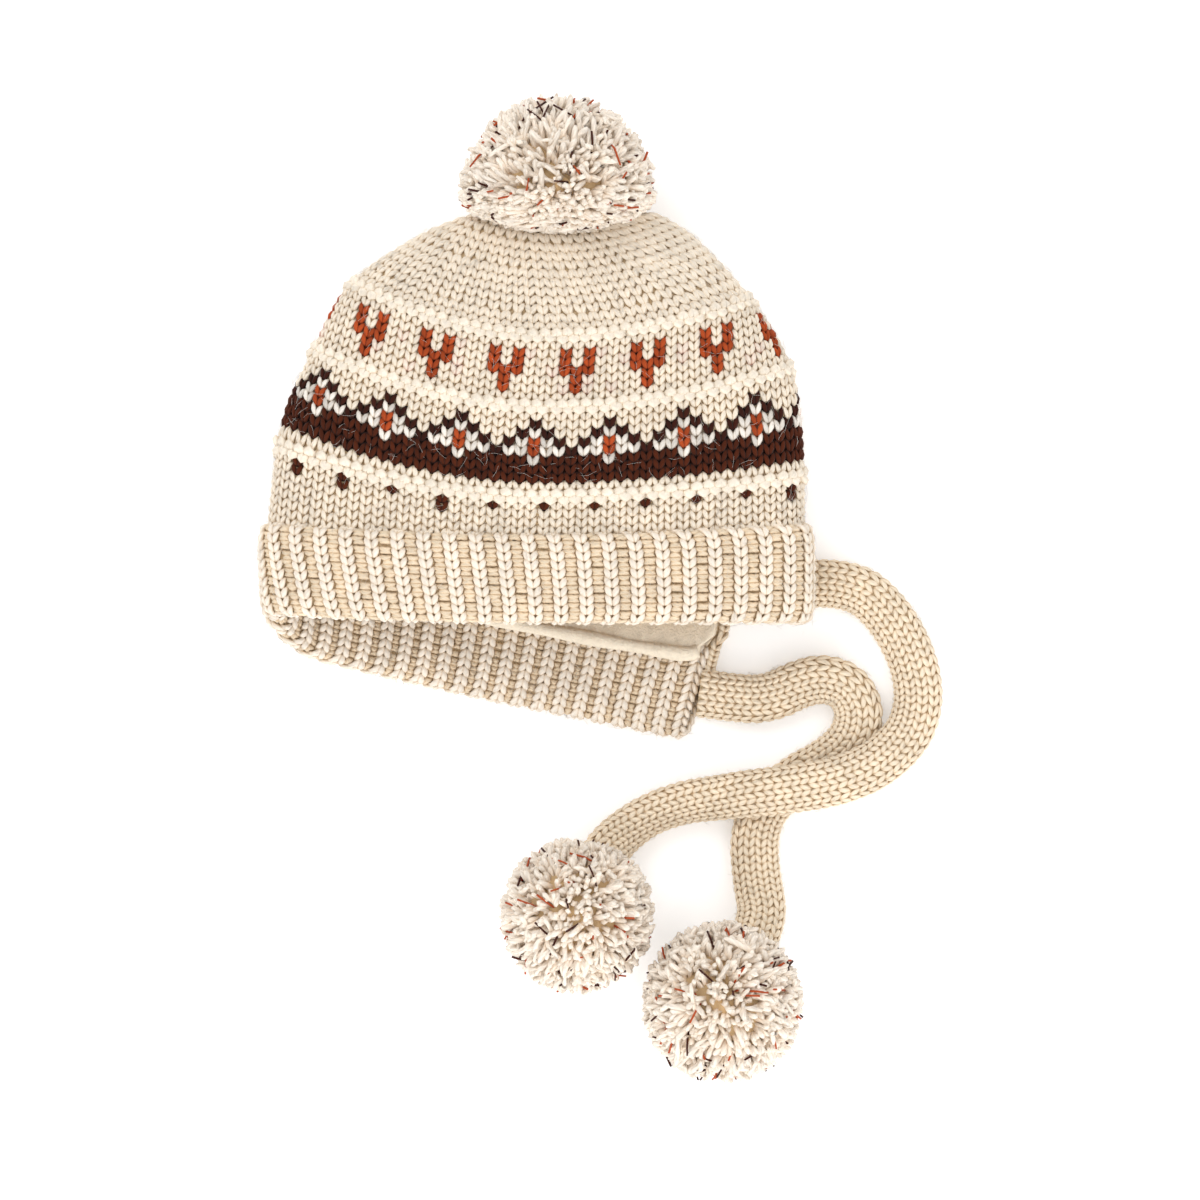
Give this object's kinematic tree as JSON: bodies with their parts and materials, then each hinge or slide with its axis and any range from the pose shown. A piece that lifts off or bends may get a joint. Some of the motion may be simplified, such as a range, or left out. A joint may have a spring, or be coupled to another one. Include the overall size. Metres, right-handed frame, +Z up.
{
  "type": "bobble hat",
  "caption": "Chunky knitted bobble hat with ribbed cuff, fleece lining, Fair Isle bands and two ties that end in pompoms, lying flat.",
  "frame": {"origin": "on the floor plane, under the middle of the hat's upper face (cuff rim to crown top), where the crown's underside lies flat", "axes": "+Z up from the floor the hat lies on, +Y from the brim's opening towards the crown's top, +X to the slit in the cuff with the hat's face up"},
  "size_m": [0.3079, 0.4443, 0.0891],
  "materials": {
    "knit_yarn": "cream wool-blend yarn, stocking stitch, with brown, rust and grey-white patterned rows",
    "cuff_yarn": "cream wool-blend yarn, one-by-one rib",
    "fleece": "felted cream fleece",
    "pompom_yarn": "cut cream yarn with a few rust and dark brown strands",
    "tie_yarn": "cream wool-blend yarn, knitted tube pressed flat"
  },
  "bodies": {
    "root": {"crown": "knit_yarn", "ribbed_cuff": "cuff_yarn", "lining": "fleece", "crown_pompom": "pompom_yarn", "tie_1": "tie_yarn", "tie_2": "tie_yarn", "tie_pompom_1": "pompom_yarn", "tie_pompom_2": "pompom_yarn"}
  },
  "joints": []
}
